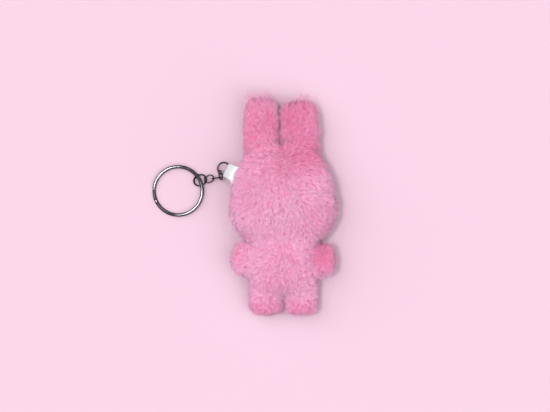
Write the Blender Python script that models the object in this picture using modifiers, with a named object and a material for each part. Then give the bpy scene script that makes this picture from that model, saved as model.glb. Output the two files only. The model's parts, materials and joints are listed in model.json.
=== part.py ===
"""A plush rabbit keychain, lying on its face with its ears towards +Y.

Fur-fabric panels close over polyester stuffing in the head, torso, ears, arms and legs. A folded satin
ribbon is sewn into the head's side seam and carries a jump ring, three chain links, an end ring and a flat
split key ring. Metres, +Z up, origin on the flat patch under the head that the toy rests on.
"""

import math

import bmesh
import bpy
from mathutils import Euler, Matrix, Vector

MM = 0.001
GAP = 0.3 * MM  # between neighbouring pieces
TINY = 1e-6
UP = Vector((0.0, 0.0, 1.0))

# Key ring hardware
WIRE_SIDES = 2  # bevel resolution, which gives eight sides
RING_POINTS = 30
RING_WIRE_R = 0.5 * MM
RING_CUT = 3.0  # degrees, half of the cut where a jump ring is closed
SPLIT_OUTER_R = 15.0 * MM
SPLIT_BAND = 1.9 * MM
SPLIT_COIL = 0.88 * MM
SPLIT_PITCH = 1.02 * MM
SPLIT_JOGGLE_AT = 190.0  # degrees round the ring, where the wire climbs from the lower turn to the upper
SPLIT_JOGGLE = 16.0  # degrees of climb on each side of that
SPLIT_STEP = 8.0  # degrees between points of the coil
SPLIT_CENTRE = Vector((-61.0, 8.2, 1.75)) * MM
SPLIT_TILT = 3.0  # degrees: the end ring's wire props its near side up
END_RING_R = 3.7 * MM
END_RING_CENTRE = Vector((-48.2, 14.4, 2.48)) * MM
END_RING_TILT = 32.0
END_RING_CUT_AT = 140.0
LINK_WIRE_R = 0.4 * MM
LINK_HALF_LENGTH = 2.8 * MM  # to the wire's centreline
LINK_HALF_WIDTH = 2.0 * MM
LINK_END_POINTS = 9
LINK_PLACES = (
    ("chain_link_1", (-36.23, 17.33, 4.72), (-62.6, 18.6, 105.5)),
    ("chain_link_2", (-38.56, 15.71, 3.38), (88.8, -1.0, 9.3)),
    ("chain_link_3", (-42.98, 15.14, 3.49), (13.8, -12.4, 26.2)),
)

# Ribbon, folded over its jump ring
RIBBON_HEADING = 151.0  # degrees from +X, as seen from above
RIBBON_RING_R = 3.5 * MM
RIBBON_RING_CENTRE = Vector((-34.5, 21.2, 5.2)) * MM
RIBBON_RING_DIP = 15.0  # degrees: the ring's far side is the lower one
RIBBON_RING_CUT_AT = 60.0
RIBBON_ROOT = Vector((-27.6, 17.4, 14.5)) * MM
RIBBON_PLY = 0.35 * MM
RIBBON_WIDTH_AT_SEAM = 9.0 * MM
RIBBON_WIDTH_AT_RING = 5.2 * MM
RIBBON_EYE_R = 1.15 * MM  # inside radius of the fold round the ring
RIBBON_EYE_BACK = 2.8 * MM  # from the ring's centre to the fold's centre
RIBBON_TAIL_LENGTH = 3.6 * MM  # the part caught between the head's two panels
RIBBON_SLOT_SPARE = 0.3 * MM

# Plush forms: centre, half sizes in plan, height above and depth below the seam, all in millimetres
HEAD = {"centre": (0.0, 5.5, 14.5), "half": (29.8, 27.3), "above": 23.5, "power": 2.6, "taper": 0.16,
        "wall": 4.0, "mesh": (22, 12)}
TORSO = {"centre": (0.0, -37.2, 12.5), "half": (19.2, 13.8), "above": 17.0, "power": 3.0, "taper": 0.0,
         "wall": 3.5, "mesh": (18, 10)}
EAR = {"half": (9.9, 14.4), "above": 7.2, "depth": 7.2, "power": 2.5, "taper": 0.06, "wall": 2.6, "mesh": (16, 8)}
ARM = {"half": (4.8, 8.0), "above": 7.6, "depth": 7.6, "power": 2.1, "taper": 0.0, "wall": 2.0, "mesh": (14, 8)}
LEG = {"half": (9.1, 5.9), "above": 8.6, "power": 2.3, "taper": 0.0, "wall": 2.0, "mesh": (16, 8)}
LIMBS = (  # name, form, centre, turn about Z in degrees, pivot from the centre
    ("ear_left", EAR, (-11.9, 47.6, 13.4), 2.0, (0.0, -10.4, 0.0)),
    ("ear_right", EAR, (9.6, 47.6, 13.4), -2.0, (0.0, -10.4, 0.0)),
    ("arm_left", ARM, (-24.0, -31.7, 13.0), 0.0, (3.0, 0.0, 0.0)),
    ("arm_right", ARM, (24.6, -32.2, 13.0), 0.0, (-3.0, 0.0, 0.0)),
    ("leg_left", LEG, (-9.7, -56.8, 9.0), 0.0, (0.0, 2.8, 0.0)),
    ("leg_right", LEG, (10.2, -56.8, 9.0), 0.0, (0.0, 2.8, 0.0)),
)
NECK_PIVOT = (0.0, -22.3, 13.5)

# Face, on the side that lies on the table
EYE_R = 2.1 * MM
EYE_SINK = 0.7 * MM  # from the surface down to the bead's centre
EYE_PLACES = (("left", -17.5, 11.0), ("right", 17.5, 11.0))
SHANK_R = 0.7 * MM
SHANK_LENGTH = 6.6 * MM
WASHER_R = 3.2 * MM
WASHER_THICK = 0.9 * MM
WASHER_DEPTH = 4.9 * MM  # below the surface, to the washer's middle
NOSE_HALF = (2.6, 1.8)
NOSE_CENTRE = (0.0, 6.4)
NOSE_THICK = 1.4 * MM
NOSE_LIFT = 0.2 * MM  # clear of the table


def linear(red, green, blue):
    """An 8-bit display colour as the linear values that a shader takes."""
    return tuple((c / 255.0) ** 2.2 for c in (red, green, blue)) + (1.0,)


def make_material(name, colour, roughness, metallic=0.0):
    material = bpy.data.materials.new(name)
    material.use_nodes = True
    shader = material.node_tree.nodes["Principled BSDF"]
    shader.inputs["Base Color"].default_value = colour
    shader.inputs["Roughness"].default_value = roughness
    shader.inputs["Metallic"].default_value = metallic
    return material


def make_materials():
    return {
        "fur": make_material("pink_fur", linear(239, 153, 192), 0.95),
        "limb_fur": make_material("limb_fur", linear(233, 144, 182), 0.95),
        "stuffing": make_material("polyester_stuffing", linear(244, 242, 238), 1.0),
        "bead": make_material("black_bead", linear(18, 16, 18), 0.12),
        "washer": make_material("white_washer", linear(236, 234, 228), 0.45),
        "thread": make_material("rose_thread", linear(196, 92, 128), 0.6),
        "satin": make_material("white_satin", linear(240, 245, 243), 0.35),
        "nickel": make_material("nickel_plate", linear(196, 192, 194), 0.18, 1.0),
    }


def make_collection(name, helpers=False):
    collection = bpy.data.collections.new(name)
    collection.hide_render = helpers
    bpy.context.scene.collection.children.link(collection)
    return collection


def make_pivot(name, location, collection, parent=None, turn=0.0):
    """An empty on a joint's axis. Its location is in the world, under any parent."""
    pivot = bpy.data.objects.new(name, None)
    pivot.empty_display_size = 3 * MM
    pivot.rotation_euler = (0.0, 0.0, math.radians(turn))
    pivot.location = location
    collection.objects.link(pivot)
    if parent:
        pivot.location = Vector(location) - parent.location
        pivot.parent = parent
    return pivot


def add_object(name, mesh, material, collection, parent=None, location=(0.0, 0.0, 0.0)):
    obj = bpy.data.objects.new(name, mesh)
    obj.location = location
    obj.parent = parent
    mesh.materials.append(material)
    collection.objects.link(obj)
    return obj


def finished_mesh(name, bm, smooth_angle=40.0):
    bmesh.ops.recalc_face_normals(bm, faces=bm.faces)
    mesh = bpy.data.meshes.new(name)
    bm.to_mesh(mesh)
    bm.free()
    mesh.shade_smooth()
    mesh.set_sharp_from_angle(angle=math.radians(smooth_angle))
    return mesh


# Plush forms

def form_depth(form):
    """Below the seam. A form that rests on the table has its lowest ring of points on the table."""
    if "depth" in form:
        return form["depth"]
    return form["centre"][2] / math.cos(math.pi / form["mesh"][1])


def form_point(unit, form, shrink):
    """Where a point of the unit sphere goes on the form, from its centre, in metres."""
    half_x, half_y = (size - shrink for size in form["half"])
    reach = math.hypot(unit.x, unit.y)
    point = Vector((0.0, 0.0, 0.0))
    if reach > TINY:
        across, along = unit.x / reach, unit.y / reach
        power = form["power"]
        stretch = reach * (abs(across) ** power + abs(along) ** power) ** (-1.0 / power)
        point.y = half_y * along * stretch
        point.x = half_x * across * stretch * (1.0 - form["taper"] * point.y / half_y)
    rise = form["above"] if unit.z > 0 else form_depth(form)
    point.z = (rise - shrink) * unit.z
    if "depth" not in form:
        point.z = max(point.z, -form["centre"][2])
    return point * MM


def add_form(bm, form, shrink, side=0):
    """The whole form, or with side 1 or -1 only what lies above or below its seam. Returns the seam's points."""
    segments, rings = form["mesh"]
    made = bmesh.ops.create_uvsphere(bm, u_segments=segments, v_segments=rings, radius=1.0)
    far_side = [v for v in made["verts"] if v.co.z * side < -TINY]
    kept = [v for v in made["verts"] if v.co.z * side >= -TINY]
    seam = [v for v in made["verts"] if abs(v.co.z) < TINY]
    seam.sort(key=lambda v: math.atan2(v.co.y, v.co.x))
    bmesh.ops.delete(bm, geom=far_side, context="VERTS")
    for vert in kept:
        vert.co = form_point(vert.co, form, shrink)
    for vert in seam:
        vert.co.z += side * GAP / 2
    return seam


def panel_mesh(name, form, side):
    """A fur panel: half of the form, as thick as its backing and pile together."""
    bm = bmesh.new()
    outer = add_form(bm, form, 0.0, side)
    inner = add_form(bm, form, form["wall"], side)
    for i in range(len(outer)):
        bm.faces.new((outer[i - 1], outer[i], inner[i], inner[i - 1]))
    return finished_mesh(name, bm)


def stuffing_mesh(name, form):
    bm = bmesh.new()
    add_form(bm, form, form["wall"] + GAP / MM)
    return finished_mesh(name, bm)


def make_plush_part(name, form, fur, stuffing, parts, parent, centre):
    """Back panel, front panel and stuffing of one stuffed part. The back is on top as the toy lies."""
    back = add_object(name + "_fur_back", panel_mesh(name + "_back", form, 1), fur, parts, parent, centre)
    front = add_object(name + "_fur_front", panel_mesh(name + "_front", form, -1), fur, parts, parent, centre)
    fill = add_object(name + "_stuffing", stuffing_mesh(name + "_fill", form), stuffing, parts, parent, centre)
    return back, front, fill


def make_limb(name, form, centre, turn, pivot_offset, materials, parts, parent):
    form = dict(form, centre=centre)
    offset = Vector(pivot_offset) * MM
    pivot_at = Vector(centre) * MM + Matrix.Rotation(math.radians(turn), 3, "Z") @ offset
    pivot = make_pivot(name + "_pivot", pivot_at, parts, parent, turn)
    make_plush_part(name, form, materials["limb_fur"], materials["stuffing"], parts, pivot, -offset)


# Wire

def wire_mesh(name, points, radius, closed):
    """A round wire along the points. A wire that is open gets flat ends."""
    curve = bpy.data.curves.new(name, "CURVE")
    curve.dimensions = "3D"
    curve.bevel_depth = radius
    curve.bevel_resolution = WIRE_SIDES
    curve.use_fill_caps = not closed
    spline = curve.splines.new("POLY")
    spline.points.add(len(points) - 1)
    spline.use_cyclic_u = closed
    for place, point in zip(spline.points, points):
        place.co = (*point, 1.0)
    return mesh_of_curve(name, curve)


def mesh_of_curve(name, curve):
    holder = bpy.data.objects.new(name, curve)
    bpy.context.scene.collection.objects.link(holder)
    graph = bpy.context.evaluated_depsgraph_get()
    mesh = bpy.data.meshes.new_from_object(holder.evaluated_get(graph))
    bpy.data.objects.remove(holder)
    bm = bmesh.new()
    bm.from_mesh(mesh)
    bmesh.ops.remove_doubles(bm, verts=bm.verts, dist=0.01 * MM)
    bpy.data.meshes.remove(mesh)
    return finished_mesh(name, bm)


def ring_points(radius, cut_at):
    """Round a jump ring in its own XY plane, from one face of its cut to the other."""
    start = math.radians(cut_at + RING_CUT)
    sweep = math.radians(360.0 - 2 * RING_CUT)
    angles = (start + sweep * i / (RING_POINTS - 1) for i in range(RING_POINTS))
    return [Vector((math.cos(a), math.sin(a), 0.0)) * radius for a in angles]


def link_points():
    """Round a chain link: two half circles joined by its straight sides."""
    straight = LINK_HALF_LENGTH - LINK_HALF_WIDTH
    points = []
    for end, first in ((1, -90.0), (-1, 90.0)):
        for i in range(LINK_END_POINTS):
            angle = math.radians(first + 180.0 * i / (LINK_END_POINTS - 1))
            arc = Vector((math.cos(angle), math.sin(angle), 0.0)) * LINK_HALF_WIDTH
            points.append(arc + Vector((end * straight, 0.0, 0.0)))
    return points


def frame_matrix(origin, x_axis, y_axis):
    x_axis = x_axis.normalized()
    z_axis = x_axis.cross(y_axis).normalized()
    y_axis = z_axis.cross(x_axis)
    return Matrix.Translation(origin) @ Matrix((x_axis, y_axis, z_axis)).transposed().to_4x4()


def make_chain(materials, parts):
    for name, centre, turns in LINK_PLACES:
        mesh = wire_mesh(name, link_points(), LINK_WIRE_R, True)
        link = add_object(name, mesh, materials["nickel"], parts)
        link.location = Vector(centre) * MM
        link.rotation_euler = Euler([math.radians(turn) for turn in turns])


def split_ring_axes():
    """From the split ring's centre towards the end ring, level, and across that."""
    towards = END_RING_CENTRE - SPLIT_CENTRE
    towards.z = 0.0
    towards.normalize()
    return towards, UP.cross(towards)


def split_section():
    """The flattened wire's cross-section, a rectangle with eased corners, as a flat closed curve."""
    half_w, half_h = SPLIT_BAND / 2, SPLIT_COIL / 2
    ease = 0.22 * MM
    corners = [
        (half_w, -half_h + ease), (half_w, half_h - ease), (half_w - ease, half_h), (-half_w + ease, half_h),
        (-half_w, half_h - ease), (-half_w, -half_h + ease), (-half_w + ease, -half_h), (half_w - ease, -half_h),
    ]
    curve = bpy.data.curves.new("split_section", "CURVE")
    curve.dimensions = "2D"
    spline = curve.splines.new("POLY")
    spline.points.add(len(corners) - 1)
    spline.use_cyclic_u = True
    for place, (x, y) in zip(spline.points, corners):
        place.co = (x, y, 0.0, 1.0)
    return bpy.data.objects.new("split_section", curve)


def split_level(turned):
    """Height of the coil's centreline after so many degrees: lower turn, climb, upper turn."""
    climb = (turned - (360.0 - SPLIT_JOGGLE)) / (2 * SPLIT_JOGGLE)
    climb = min(max(climb, 0.0), 1.0)
    return SPLIT_PITCH * (climb * climb * (3.0 - 2.0 * climb) - 0.5)


def make_split_ring(materials, parts, helpers):
    first, last = SPLIT_JOGGLE, 720.0 - SPLIT_JOGGLE
    steps = round((last - first) / SPLIT_STEP)
    section = split_section()
    helpers.objects.link(section)
    curve = bpy.data.curves.new("split_ring", "CURVE")
    curve.dimensions = "3D"
    curve.twist_mode = "Z_UP"
    curve.bevel_mode = "OBJECT"
    curve.bevel_object = section
    curve.use_fill_caps = True
    spline = curve.splines.new("POLY")
    spline.points.add(steps)
    for i, place in enumerate(spline.points):
        turned = first + (last - first) * i / steps
        angle = math.radians(SPLIT_JOGGLE_AT + turned)
        radius = SPLIT_OUTER_R - SPLIT_BAND / 2
        place.co = (radius * math.cos(angle), radius * math.sin(angle), split_level(turned), 1.0)
    mesh = mesh_of_curve("split_ring", curve)
    ring = add_object("split_ring", mesh, materials["nickel"], parts)
    towards, across = split_ring_axes()
    tilt = math.radians(SPLIT_TILT)
    raised = towards * math.cos(tilt) + UP * math.sin(tilt)
    ring.matrix_world = frame_matrix(SPLIT_CENTRE, raised, across) @ Matrix.Rotation(
        -math.atan2(towards.y, towards.x), 4, "Z")


def make_end_ring(materials, parts):
    """It loops round the split ring's band: under it on one side and over it on the other."""
    towards, across = split_ring_axes()
    tilt = math.radians(END_RING_TILT)
    raised = -across * math.cos(tilt) + UP * math.sin(tilt)
    mesh = wire_mesh("end_ring", ring_points(END_RING_R, END_RING_CUT_AT), RING_WIRE_R, False)
    ring = add_object("end_jump_ring", mesh, materials["nickel"], parts)
    ring.matrix_world = frame_matrix(END_RING_CENTRE, towards, raised)


# Ribbon

def ribbon_axes():
    heading = math.radians(RIBBON_HEADING)
    outward = Vector((math.cos(heading), math.sin(heading), 0.0))
    return outward, outward.cross(UP)


def ribbon_ring_axis():
    """From the ribbon's fold out through the jump ring, dipping towards the table."""
    outward, _ = ribbon_axes()
    dip = math.radians(RIBBON_RING_DIP)
    return outward * math.cos(dip) - UP * math.sin(dip)


def ribbon_side(side, steps=7):
    """One ply in the upright plane along the ribbon, from the seam down to where the eye begins."""
    outward, _ = ribbon_axes()
    axis = ribbon_ring_axis()
    eye = RIBBON_RING_CENTRE - axis * RIBBON_EYE_BACK - RIBBON_ROOT
    slope = Vector((axis.dot(outward), axis.z))
    end = Vector((eye.dot(outward), eye.z))
    straight = end - slope * 1.4 * MM
    start = Vector((0.0, 0.0))
    leave = Vector((1.9, -0.9)) * MM
    arrive = straight - slope * 1.6 * MM + Vector((0.0, 1.2 * MM))
    points = []
    for i in range(steps + 1):
        t = i / steps
        a, b, c, d = (1 - t) ** 3, 3 * t * (1 - t) ** 2, 3 * t * t * (1 - t), t ** 3
        point = start * a + leave * b + arrive * c + straight * d
        tangent = ((leave - start) * (1 - t) ** 2 + (arrive - leave) * 2 * t * (1 - t)
                   + (straight - arrive) * t * t).normalized()
        normal = Vector((-tangent.y, tangent.x))
        spread = GAP / 2 + RIBBON_PLY / 2
        spread += (RIBBON_EYE_R + RIBBON_PLY / 2 - spread) * min(1.0, 1.15 * t) ** 2
        points.append(point + normal * spread * side)
    return points, end, slope


def ribbon_profile():
    """The folded ribbon seen from its edge: down one ply, round the jump ring and up the other."""
    upper, eye, slope = ribbon_side(1)
    lower, _, _ = ribbon_side(-1)
    normal = Vector((-slope.y, slope.x))
    radius = RIBBON_EYE_R + RIBBON_PLY / 2
    fold = []
    for i in range(9):
        angle = math.radians(90.0 - 180.0 * i / 8)
        fold.append(eye + slope * math.cos(angle) * radius + normal * math.sin(angle) * radius)
    return upper + fold + lower[::-1]


def make_ribbon_loop(materials, parts, pivot):
    outward, across = ribbon_axes()
    profile = ribbon_profile()
    reach = max(point.x for point in profile)
    bm = bmesh.new()
    rows = []
    for point in profile:
        share = min(max(point.x / reach, 0.0), 1.0)
        width = RIBBON_WIDTH_AT_SEAM + (RIBBON_WIDTH_AT_RING - RIBBON_WIDTH_AT_SEAM) * min(1.0, 1.5 * share)
        middle = outward * point.x + UP * point.y
        rows.append([bm.verts.new(middle + across * width * side / 2) for side in (-1, 1)])
    for (a, b), (c, d) in zip(rows, rows[1:]):
        bm.faces.new((a, b, d, c))
    mesh = finished_mesh("ribbon_loop", bm)
    loop = add_object("ribbon_loop", mesh, materials["satin"], parts, pivot)
    thick = loop.modifiers.new("ply", "SOLIDIFY")
    thick.thickness = RIBBON_PLY
    thick.offset = 0.0
    thick.use_even_offset = True


def box_mesh(name, size):
    bm = bmesh.new()
    bmesh.ops.create_cube(bm, size=1.0, matrix=Matrix.Diagonal((*size, 1.0)))
    return finished_mesh(name, bm)


def make_ribbon_tail(materials, parts, helpers, panels):
    """The sewn-in end of the ribbon, and the slot that it needs between the head's panels."""
    outward, across = ribbon_axes()
    thick = 2 * RIBBON_PLY
    inset = GAP + RIBBON_TAIL_LENGTH / 2
    place = frame_matrix(RIBBON_ROOT - outward * inset, outward, across)
    size = (RIBBON_TAIL_LENGTH, RIBBON_WIDTH_AT_SEAM, thick)
    tail = add_object("ribbon_tail", box_mesh("ribbon_tail", size), materials["satin"], parts)
    tail.matrix_world = place
    spare = 2 * RIBBON_SLOT_SPARE
    slot_size = (4 * RIBBON_TAIL_LENGTH, size[1] + spare, size[2] + spare)
    slot = add_object("ribbon_slot", box_mesh("ribbon_slot", slot_size), materials["satin"], helpers)
    slot.matrix_world = place
    for obj in panels:
        cut(obj, slot)


# Face

def cut(obj, cutter):
    cutter.hide_render = True
    cutter.display_type = "WIRE"
    boolean = obj.modifiers.new("cut_" + cutter.name, "BOOLEAN")
    boolean.operation = "DIFFERENCE"
    boolean.object = cutter


def head_face_frame(x, y):
    """On the lower surface of the head at this place, with Z pointing out of it."""
    half_x, half_y = HEAD["half"]
    depth = form_depth(HEAD)
    centre = Vector(HEAD["centre"])
    across, along = x / half_x, (y - centre.y) / half_y
    fall = math.sqrt(1.0 - across ** 2 - along ** 2)
    outward = Vector((across / half_x, along / half_y, -fall / depth)).normalized()
    surface = Vector((x, y, centre.z - depth * fall)) * MM
    return Matrix.Translation(surface) @ outward.to_track_quat("Z", "Y").to_matrix().to_4x4()


def cylinder(bm, radius, low, high, sides=14):
    matrix = Matrix.Translation((0.0, 0.0, (low + high) / 2))
    bmesh.ops.create_cone(bm, cap_ends=True, segments=sides, radius1=radius, radius2=radius,
                          depth=high - low, matrix=matrix)


def bead_mesh(name, radius):
    bm = bmesh.new()
    bmesh.ops.create_uvsphere(bm, u_segments=12, v_segments=8, radius=radius,
                              matrix=Matrix.Translation((0.0, 0.0, -EYE_SINK)))
    return finished_mesh(name, bm)


def rod_mesh(name, radius, low, high):
    bm = bmesh.new()
    cylinder(bm, radius, low, high)
    return finished_mesh(name, bm)


def make_eye(side, x, y, materials, parts, helpers, front, fill):
    """A black bead with a shank through the fur panel and a washer pushed on behind it."""
    place = head_face_frame(x, y)
    shank_top = -EYE_SINK - EYE_R / 2
    eye = add_object("eye_" + side, bead_mesh("eye", EYE_R), materials["bead"], parts)
    shank = add_object("eye_shank_" + side, rod_mesh("shank", SHANK_R, -SHANK_LENGTH, shank_top),
                       materials["bead"], helpers)
    join = eye.modifiers.new("shank", "BOOLEAN")
    join.operation = "UNION"
    join.object = shank
    washer = add_object("eye_washer_" + side, rod_mesh("washer", WASHER_R, -WASHER_DEPTH - WASHER_THICK / 2,
                                                       -WASHER_DEPTH + WASHER_THICK / 2), materials["washer"], parts)
    bore = add_object("eye_bore_" + side, rod_mesh("bore", SHANK_R + GAP, -2 * SHANK_LENGTH, shank_top),
                      materials["washer"], helpers)
    socket = add_object("eye_socket_" + side, bead_mesh("socket", EYE_R + GAP), materials["fur"], helpers)
    room = add_object("eye_room_" + side, rod_mesh("room", WASHER_R + GAP, -SHANK_LENGTH - GAP, 0.0),
                      materials["fur"], helpers)
    for obj in (eye, shank, washer, bore, socket, room):
        obj.matrix_world = place
    shank.hide_render = True
    shank.display_type = "WIRE"
    cut(washer, bore)
    cut(front, socket)
    cut(front, bore)
    cut(fill, room)


def oval_mesh(name, half_x, half_y, thick):
    bm = bmesh.new()
    matrix = Matrix.Diagonal((half_x, half_y, 1.0, 1.0))
    bmesh.ops.create_cone(bm, cap_ends=True, segments=20, radius1=1.0, radius2=1.0, depth=thick, matrix=matrix)
    return finished_mesh(name, bm)


def make_nose(materials, parts, helpers, front):
    """A satin-stitched oval let into the pile, just clear of the table."""
    half_x, half_y = (size * MM for size in NOSE_HALF)
    place = Vector((NOSE_CENTRE[0] * MM, NOSE_CENTRE[1] * MM, NOSE_LIFT + NOSE_THICK / 2))
    add_object("nose", oval_mesh("nose", half_x, half_y, NOSE_THICK), materials["thread"], parts, None, place)
    deep = 2 * (NOSE_THICK / 2 + GAP)
    dish = oval_mesh("nose_dish", half_x + GAP, half_y + GAP, deep + 2 * NOSE_LIFT)
    cut(front, add_object("nose_dish", dish, materials["fur"], helpers, None, place))


def make_ribbon_ring(materials, parts):
    _, across = ribbon_axes()
    mesh = wire_mesh("ribbon_ring", ring_points(RIBBON_RING_R, RIBBON_RING_CUT_AT), RING_WIRE_R, False)
    ring = add_object("ribbon_jump_ring", mesh, materials["nickel"], parts)
    ring.matrix_world = frame_matrix(RIBBON_RING_CENTRE, ribbon_ring_axis(), across)


def main():
    for obj in list(bpy.data.objects):
        bpy.data.objects.remove(obj)
    materials = make_materials()
    parts = make_collection("plush_rabbit_keychain")
    helpers = make_collection("cutters", helpers=True)
    head_at = Vector(HEAD["centre"]) * MM
    back, front, fill = make_plush_part("head", HEAD, materials["fur"], materials["stuffing"], parts, None, head_at)
    neck = make_pivot("neck_pivot", Vector(NECK_PIVOT) * MM, parts)
    torso_at = Vector(TORSO["centre"]) * MM - neck.location
    make_plush_part("torso", TORSO, materials["fur"], materials["stuffing"], parts, neck, torso_at)
    for name, form, centre, turn, pivot_offset in LIMBS:
        parent = None if name.startswith("ear") else neck
        make_limb(name, form, centre, turn, pivot_offset, materials, parts, parent)
    for side, x, y in EYE_PLACES:
        make_eye(side, x, y, materials, parts, helpers, front, fill)
    make_nose(materials, parts, helpers, front)
    make_ribbon_tail(materials, parts, helpers, (back, front))
    ribbon_pivot = make_pivot("ribbon_pivot", RIBBON_ROOT, parts)
    make_ribbon_loop(materials, parts, ribbon_pivot)
    make_ribbon_ring(materials, parts)
    make_chain(materials, parts)
    make_end_ring(materials, parts)
    make_split_ring(materials, parts, helpers)


main()
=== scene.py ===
"""The looks of the plush rabbit keychain: long-pile fur, satin ribbon, stitched face and nickel hardware.

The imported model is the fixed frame. Lengths inside this script are millimetres until a mesh is made.
"""

import json
import math

import bpy
import numpy as np
from mathutils import Euler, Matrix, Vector
from mathutils.kdtree import KDTree


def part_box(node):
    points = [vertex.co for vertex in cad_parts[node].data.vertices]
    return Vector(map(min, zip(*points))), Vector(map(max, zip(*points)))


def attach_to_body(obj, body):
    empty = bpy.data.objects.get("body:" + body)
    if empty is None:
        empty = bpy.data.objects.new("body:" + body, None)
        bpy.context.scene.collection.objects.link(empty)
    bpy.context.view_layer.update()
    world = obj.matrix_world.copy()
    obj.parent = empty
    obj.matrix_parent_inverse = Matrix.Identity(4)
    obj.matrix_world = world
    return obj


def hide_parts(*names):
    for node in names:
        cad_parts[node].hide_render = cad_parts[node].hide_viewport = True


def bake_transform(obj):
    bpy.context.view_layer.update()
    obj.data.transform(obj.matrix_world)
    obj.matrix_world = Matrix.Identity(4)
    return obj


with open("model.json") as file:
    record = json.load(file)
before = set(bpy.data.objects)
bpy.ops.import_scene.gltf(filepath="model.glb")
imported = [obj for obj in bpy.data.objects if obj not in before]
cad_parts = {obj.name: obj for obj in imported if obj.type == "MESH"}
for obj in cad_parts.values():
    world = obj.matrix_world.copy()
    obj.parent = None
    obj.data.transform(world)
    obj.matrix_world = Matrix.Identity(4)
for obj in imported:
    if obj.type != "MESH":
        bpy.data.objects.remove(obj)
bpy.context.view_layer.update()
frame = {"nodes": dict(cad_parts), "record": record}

MM = 0.001
UP = np.array([0.0, 0.0, 1.0])
SEED = 7

# Camera: straight down, as wide at the toy's middle height as the picture shows
VIEW_CENTRE = (-4.6, -0.6)
VIEW_WIDTH = 317.4
VIEW_HEIGHT = 12.0
LENS = 135.0
SENSOR = 36.0

# Light
WORLD_STRENGTH = 2.62
WORLD_DIM = 0.15
WORLD_LOW = 0.1
BANK_ACROSS = (0.5, 0.866, 0.0)  # across the long overhead bank of light
KEY_STRENGTH = 1.3
KEY_AZIMUTH = 175.0
KEY_FROM_ZENITH = 12.0
KEY_SPREAD = 8.0
FLOOR_HALF = 1500.0

# Plush parts. power squares the outline and taper narrows it upwards; pile is how far the fur stands off
# the backing; reach is how far a limb runs on into its neighbour, which lies in the direction towards.
# turn is in degrees; wider is added at the left and right, and lower is taken off the top.
PARTS = {
    "head": {"power": 2.6, "taper": 0.16, "pile": 2.0, "body": "head"},
    "torso": {"power": 3.0, "taper": 0.0, "pile": 1.6, "body": "torso", "joins": "head",
              "towards": (0, 1), "reach": 8.0},
    "ear_left": {"power": 3.8, "taper": 0.06, "pile": 0.9, "body": "ear_left", "joins": "head",
                 "towards": (0, -1), "reach": 18.0, "turn": 1.5, "wider": (0.0, -1.3), "lower": 1.6},
    "ear_right": {"power": 3.8, "taper": 0.06, "pile": 0.9, "body": "ear_right", "joins": "head",
                  "towards": (0, -1), "reach": 18.0, "turn": 0.5, "wider": (1.0, 0.0), "lower": 3.4},
    "arm_left": {"power": 2.1, "taper": 0.0, "pile": 1.0, "body": "arm_left", "joins": "torso",
                 "towards": (1, 0), "reach": 8.0},
    "arm_right": {"power": 2.1, "taper": 0.0, "pile": 1.0, "body": "arm_right", "joins": "torso",
                  "towards": (-1, 0), "reach": 8.0},
    "leg_left": {"power": 2.3, "taper": 0.0, "pile": 0.9, "body": "leg_left", "joins": "torso",
                 "towards": (0, 1), "reach": 10.0},
    "leg_right": {"power": 2.3, "taper": 0.0, "pile": 0.9, "body": "leg_right", "joins": "torso",
                  "towards": (0, 1), "reach": 10.0},
}
SKIN_MESH = (72, 44)
SKIN_FLOOR = 0.9  # the backing's height over the table where the toy rests
FILLING_GAP = 1.9  # between the backing and the fibre fill
EAR_SEAM_HEIGHT = 14.0
BRIDGES = (  # parts whose backings run softly into each other, and over what depth
    ("head", "torso", 14.0), ("ear_left", "head", 16.0), ("ear_right", "head", 16.0),
    ("arm_left", "torso", 8.0), ("arm_right", "torso", 8.0), ("arm_left", "head", 16.0),
    ("arm_right", "head", 16.0), ("leg_left", "torso", 9.0), ("leg_right", "torso", 9.0),
)

# Fur
DENSITY = 7.0  # strands to a square millimetre
STRANDS_PER_PIECE = 8900
CLUMP_SPACING = 0.95
STRAND_LEVELS = (0.0, 0.22, 0.48, 0.75, 1.0)
STRAND_SIDES = 3
FUR_LENGTH = 4.3
FUR_WIDTH = 0.12  # radius near the root
FUR_FLOOR = 0.15
PINK_TINTS = 0.64  # below this tint a strand is pink, and above the lowest grey tint it is grey: a few grey hairs, plus painted shade on fur that faces sideways
GREY_AND_SHADE_TINTS = (0.72, 1.0)
STRAY_SHARE = 0.07
EAR_TIPS = (54.0, 57.0)  # between these heights the pile starts to end in wisps
TIP_STRAY_SHARE = 0.06
WISP_LENGTH = 1.4
COMBED_FROM = {"torso": (2.0, -22.0), "arm_left": (-14.0, -30.0), "arm_right": (14.0, -30.0),
               "leg_left": (-5.0, -47.0), "leg_right": (5.0, -47.0)}
DEEPER_PATCHES = (  # middle, size and strength of each patch of deeper pink
    ((12.0, 31.0), (9.0, 9.0), 0.18), ((21.0, -30.0), (8.0, 8.0), 0.46), ((-25.0, -31.0), (6.0, 9.0), 0.12),
)
CROWN = np.array([-1.0, 34.5])
NOSE = np.array([0.0, 6.4])
NOSE_HALF = (2.6, 1.8)
EYE_R = 2.1
EYE_SUNK = 0.7  # the bead's middle below the backing
EYE_FROM_WASHER = 4.9
SHANK_R = 0.7
SHANK_END = -6.6
SHANK_BARBS = 4
FACE_BELOW = 9.0

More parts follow.
